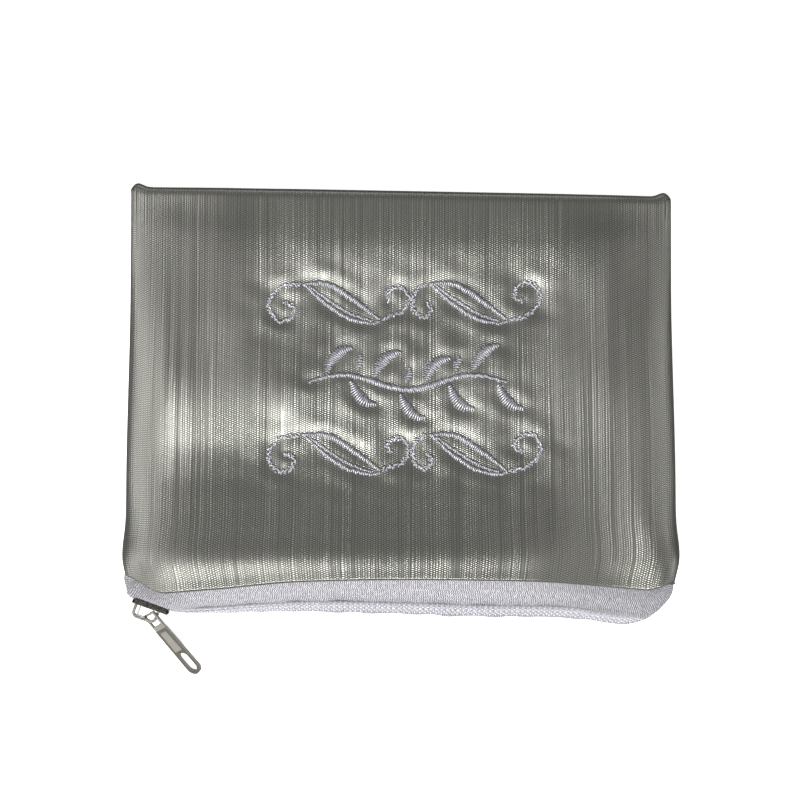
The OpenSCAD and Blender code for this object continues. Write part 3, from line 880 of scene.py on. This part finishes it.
def chain_frame(t):
    """Along, up the tape and out of the pouch, at each t of the chain."""
    near = 0.002
    along = unit(curve(CHAIN, np.minimum(1, t + near)) - curve(CHAIN, np.maximum(0, t - near)))
    a = np.radians(curve(STEEP, t))[..., None]
    inwards = np.stack([-along[..., 1], along[..., 0], 0 * along[..., 0]], -1)
    up = unit(inwards * np.cos(a) + UP * np.sin(a))
    return along, up, np.cross(along, up)


def beside(t, up, out):
    """Points next to the chain at each t, so far up the tape and out of the pouch."""
    _, u, n = chain_frame(t)
    return curve(CHAIN, t) + np.asarray(up)[..., None] * u + np.asarray(out)[..., None] * n


def lip_point(t, inside):
    """Points under the front's turned edge, so far inside the mouth."""
    c = curve(CHAIN, t)
    x = c[:, 0] * (HALF_W - 1.8) / (HALF_W + 0.3)
    y = np.maximum(mouth_y(x) + inside, c[:, 1] + 0.5 + 0.4 * inside)
    z = front_top(x, y) - 2 * LIP_R - mix(0.35, 0.2, inside / LIP_INSIDE)
    return np.column_stack([x, skew(x, y), z])


def sill_point(t, inside):
    """Points over the back's turned edge, so far inside the mouth."""
    c = curve(CHAIN, t)
    x = c[:, 0] * (HALF_W - 3.4) / (HALF_W + 0.3)
    y = np.maximum(back_y(x) + inside, c[:, 1] + 0.9 + 0.4 * inside)
    return np.column_stack([x, skew(x, y), back_z(x, y) + 2 * LIP_R + 0.2])


def tape_grid(side):
    """The tape from its coil to its seam: rows run along the zip, columns across the tape."""
    fine = np.linspace(0, 1, 900)
    t = even(np.column_stack([fine, curve(CHAIN, fine)]), 420)[:, 0]
    edge = curve(SPREAD, t) - 0.1
    if side > 0:
        # at both corners the tape bulges over the end of the chain; between them it lies lower
        x, y, _ = curve(CHAIN, t).T
        over = np.maximum(ramp(51, 58, x), ramp(-45.5, -41, y) * (x < 0))
        low = (1 - over) * ramp(-55.5, -52, x)
        steps = [beside(t, edge, -0.75), beside(t, edge + 1.0 - 0.1 * low, -0.6 + 1.6 * over),
                 beside(t, curve(EXIT_UP, t) + 0.4 * over - 0.45 * low, 1.5 * over - 0.5 * low),
                 lip_point(t, 0), lip_point(t, LIP_INSIDE)]
    else:
        steps = [beside(t, -edge, -0.75), beside(t, -edge - 1.3, -0.6),
                 beside(t, -curve(EXIT_DOWN, t), 0), sill_point(t, 0),
                 sill_point(t, LIP_INSIDE)]
    across = np.linspace(0, 1, 22)
    grid = np.stack([curve(np.stack([s[i] for s in steps]), across) for i in range(len(t))])
    length = length_at(grid[:, 8])
    wide = np.linalg.norm(np.diff(grid, axis=1), axis=2).sum(1).mean()
    flat = np.stack(np.broadcast_arrays(wide * across[None], length[:, None]), 2)
    wave = ripple(length[:, None], 3 * across[None], 7, 31 if side > 0 else 32)
    free = np.sin(math.pi * np.clip(across * 1.25, 0, 1)) * ramp(-54, -48, grid[:, :, 0])
    _, _, out = chain_frame(t)
    return grid + (0.22 * wave * free)[..., None] * out[:, None], flat


def zip_tapes():
    """Both woven tapes; the back's columns are reversed so that its faces turn the same way."""
    for side, word in ((1, "front"), (-1, "back")):
        grid, flat = tape_grid(side)
        if side < 0:
            grid, flat = grid[:, ::-1], flat[:, ::-1]
        piece = grid_piece(f"{word}_tape_cloth", grid, TAPE, flat)
        belongs(piece, word, f"{word}_zip_tape")
        thicken(piece, TAPE_T, 0)


def chain_turns():
    """Close steps of t, the chain's length at each of them, and how many teeth it holds."""
    fine = np.linspace(0, 1, 3000)
    length = length_at(curve(CHAIN, fine))
    return fine, length, int(length[-1] / ZIP_PITCH)


def coil_line(side):
    """The nylon thread of one coil: one flattened turn for each tooth."""
    fine, length, teeth = chain_turns()
    per_turn = 16  # points in each turn
    turns = np.arange(teeth * per_turn) / per_turn
    phase = math.tau * turns + (math.pi if side < 0 else 0)
    lean = 0.14 * np.sin(phase)
    t = np.interp((turns + 0.5) * ZIP_PITCH + lean, length, fine)
    reach = COIL_W * 0.96
    up = side * (curve(SPREAD, t) - reach * np.cos(phase))
    return beside(t, up, 0.5 * np.sin(phase))


def coil_piece(name, turns, core):
    """The wound coil, with the cord that runs through it."""
    wire = tube_piece(name, turns, WIRE_R, COIL)
    cord = tube_piece(f"{name}_cord", core, CORD_R, COIL)
    with bpy.context.temp_override(active_object=wire, selected_editable_objects=[wire, cord]):
        bpy.ops.object.join()
    return wire


def coil_stitches(side):
    """Where the sewing thread shows between the teeth of a coil: two rows of short dots."""
    fine, length, teeth = chain_turns()
    ends = []
    for off, shift in ((0.42, 0.25), (-0.3, 0.75)):
        at = (np.arange(teeth) + (shift if side > 0 else shift + 0.5)) * ZIP_PITCH
        pair = []
        for half in (-0.26, 0.26):
            t = np.interp(at + half, length, fine)
            pair.append(beside(t, side * (curve(SPREAD, t) + off + 0.3 * half), 0.52 + 0 * t))
        ends.append((*pair, chain_frame(t)[2]))
    return [np.concatenate(rows) for rows in zip(*ends)]


def zip_coils():
    """Both coils and the threads that sew them to their tapes."""
    for side, word in ((1, "front"), (-1, "back")):
        t = np.linspace(0.01, 0.99, 500)
        core = beside(t, side * curve(SPREAD, t), 0 * t)
        coil = coil_piece(f"{word}_coil_turns", coil_line(side), core)
        a, b, out = coil_stitches(side)
        stitches = stitches_piece(f"{word}_coil_stitches", a, b, out, 0.26, DOT_R, ZIP_THREAD)
        belongs(coil, word, f"{word}_coil")
        belongs(stitches, word, f"{word}_coil_thread")


# ---- seams ------------------------------------------------------------------------------------
SEAM_R = 0.12
SIDE_STITCH = 2.6
TAPE_STITCH = 2.4


def seam_piece(name, line, normal, length, material, bulge=0.1):
    """A row of lockstitches of that length along a line."""
    count = int(np.linalg.norm(np.diff(line, axis=0), axis=1).sum() / length)
    ends = even(line, count + 1)
    a, b = mix(ends[:-1], ends[1:], 0.06), mix(ends[:-1], ends[1:], 0.94)
    return stitches_piece(name, a, b, np.broadcast_to(normal, a.shape), bulge, SEAM_R, material)


def seams():
    """The side seams inside the edges, and the seams that hold the tapes."""
    for side, word in ((-1, "left"), (1, "right")):
        y = np.linspace(FRONT_START - 2, -27, 60)
        x = side * (half_at(y) - 0.6)
        line = np.column_stack([x, skew(x, y), 0 * y + SEAM_Z])
        piece = seam_piece(f"{word}_seam_stitches", line, UP, SIDE_STITCH, SEAM_THREAD, 0.02)
        belongs(piece, "back", f"side_seam_{word}")
    t = np.linspace(0.06, 0.94, 300)
    inside = LIP_INSIDE - 0.9
    for word, line, up in (("front", lip_point(t, inside) - 0.35 * UP, -UP),
                           ("back", sill_point(t, inside) + 0.3 * UP, UP)):
        piece = seam_piece(f"{word}_tape_stitches", line, up, TAPE_STITCH, ZIP_THREAD)
        belongs(piece, word, f"{word}_zip_seam")


# ---- embroidery -------------------------------------------------------------------------------
STITCH_SPACING = 0.46
RUNNING_SPACING = 0.24
STITCH_R = 0.21


def satin(stroke, rng):
    """Ends and bulges of the stitches laid side by side across a stroke."""
    mid, side, w = stroke_line(stroke, STITCH_SPACING)
    along = unit(np.gradient(mid, axis=0))
    wobble = rng.uniform(-0.16, 0.16, (2, len(mid)))
    slant = (0.25 + rng.uniform(-0.1, 0.1, len(mid)))[:, None] * along
    w = np.maximum(w, 0.28)
    a = mid + side * (w + wobble[0])[:, None] - slant
    b = mid - side * (w + wobble[1])[:, None] + slant
    return a, b, 0.24 + 0.4 * w + rng.uniform(-0.05, 0.08, len(mid))


def running(stroke, rng):
    """Short stitches that lie loosely this way and that along a fine curl."""
    mid, side, _ = stroke_line(stroke, RUNNING_SPACING)
    along = unit(np.gradient(mid, axis=0))
    turn = rng.uniform(-1.5, 1.5, len(mid))[:, None]
    reach = rng.uniform(0.26, 0.5, len(mid))[:, None]
    reach = reach * (along * np.cos(turn) + side * np.sin(turn))
    mid = mid + side * rng.uniform(-0.42, 0.42, len(mid))[:, None]
    return mid - reach, mid + reach, rng.uniform(0.12, 0.5, len(mid))


def embroidery():
    """Each node's stitches: satin for leaves, stem and buds, running for the curls."""
    rng = np.random.default_rng(11)
    for node, strokes in EMBROIDERY.items():
        rows = [(running if stroke[2] == RUNNING_W else satin)(stroke, rng) for stroke in strokes]
        a, b, bulge = (np.concatenate(r) for r in zip(*rows))
        a = np.column_stack([a, front_top(a[:, 0], a[:, 1]) - 0.02])
        b = np.column_stack([b, front_top(b[:, 0], b[:, 1]) - 0.02])
        up = np.broadcast_to(UP, a.shape)
        piece = stitches_piece(f"{node}_stitches", a, b, up, bulge, STITCH_R, SATIN)
        belongs(piece, "front", node)


# ---- slider and pull tab ----------------------------------------------------------------------
def metal_parts():
    """The CAD's own metal parts, with their edges rounded."""
    for node, material, width in (("slider_body", SLIDER_METAL_PAINTED_DARK, 0.14),
                                  ("slider_cap", CAP_METAL, 0.16),
                                  ("lock_spring", SPRING, 0.03),
                                  ("pull_tab", TAB_METAL, 0.16)):
        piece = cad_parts[node]
        piece.data.materials.clear()
        piece.data.materials.append(material)
        bevel = piece.modifiers.new("edges", "BEVEL")
        bevel.width = width * MM
        bevel.segments = 3
        bevel.limit_method = "ANGLE"
        bevel.angle_limit = math.radians(35)
        bevel.harden_normals = True


# ---- light, floor and camera ------------------------------------------------------------------
# each lamp's place and size in metres, and its watts
LAMPS = {
    "key": ((-0.13, -0.45, 0.68), (0.45, 0.22), 7.0),
    "left": ((-0.75, 0.05, 0.5), (0.3, 0.6), 2.2),
    "right": ((0.7, 0.0, 0.4), (0.3, 0.6), 0.9),
    "back": ((0.0, 0.85, 0.42), (1.0, 0.4), 1.3),
}
WORLD_LIGHT = 0.105
FLOOR_HALF = 2.0
FLOOR_GLOW = 0.75
CAMERA_AT = (-0.0002, 0.0002, 0.55)
VIEW_WIDTH = 0.1882  # what the camera sees across, at the height of the pouch's front
POUCH_HEIGHT = 0.006
SENSOR = 36


def area_light(name, at, size, watts):
    """A rectangular lamp that points at the origin."""
    light = bpy.data.lights.new(name, "AREA")
    light.shape = "RECTANGLE"
    light.size, light.size_y = size
    light.energy = watts
    lamp = bpy.data.objects.new(name, light)
    bpy.context.scene.collection.objects.link(lamp)
    lamp.location = at
    lamp.rotation_euler = (-lamp.location).to_track_quat("-Z", "Y").to_euler()


def studio():
    """Soft lamps, a pale floor that mirrors don't show, and the camera."""
    scene = bpy.context.scene
    scene.view_settings.view_transform = "Standard"
    world = bpy.data.worlds.new("studio")
    world.use_nodes = True
    world.node_tree.nodes["Background"].inputs["Color"].default_value = (1, 1, 1, 1)
    world.node_tree.nodes["Background"].inputs["Strength"].default_value = WORLD_LIGHT
    scene.world = world
    for name, (at, size, watts) in LAMPS.items():
        area_light(name, at, size, watts)

    mesh = bpy.data.meshes.new("floor")
    corners = [(x * FLOOR_HALF, y * FLOOR_HALF, 0) for x, y in ((-1, -1), (1, -1), (1, 1), (-1, 1))]
    mesh.from_pydata(corners, [], [(0, 1, 2, 3)])
    floor = bpy.data.objects.new("floor", mesh)
    paper = Nodes("pale_paper", Roughness=0.9)
    paper.shader.inputs["Base Color"].default_value = (0.97, 0.97, 0.97, 1)
    paper.shader.inputs["Emission Color"].default_value = (1, 1, 1, 1)
    paper.shader.inputs["Emission Strength"].default_value = FLOOR_GLOW
    mesh.materials.append(paper.material)
    floor.visible_glossy = False
    scene.collection.objects.link(floor)

    # the camera looks straight down, as in the photograph
    lens_data = bpy.data.cameras.new("camera")
    lens_data.sensor_width = SENSOR
    lens_data.lens = SENSOR * (CAMERA_AT[2] - POUCH_HEIGHT) / VIEW_WIDTH
    camera = bpy.data.objects.new("camera", lens_data)
    camera.location = CAMERA_AT
    scene.collection.objects.link(camera)
    scene.camera = camera


shell = leather_shell()
linings()
zip_tapes()
zip_coils()
seams()
embroidery()
metal_parts()
studio()
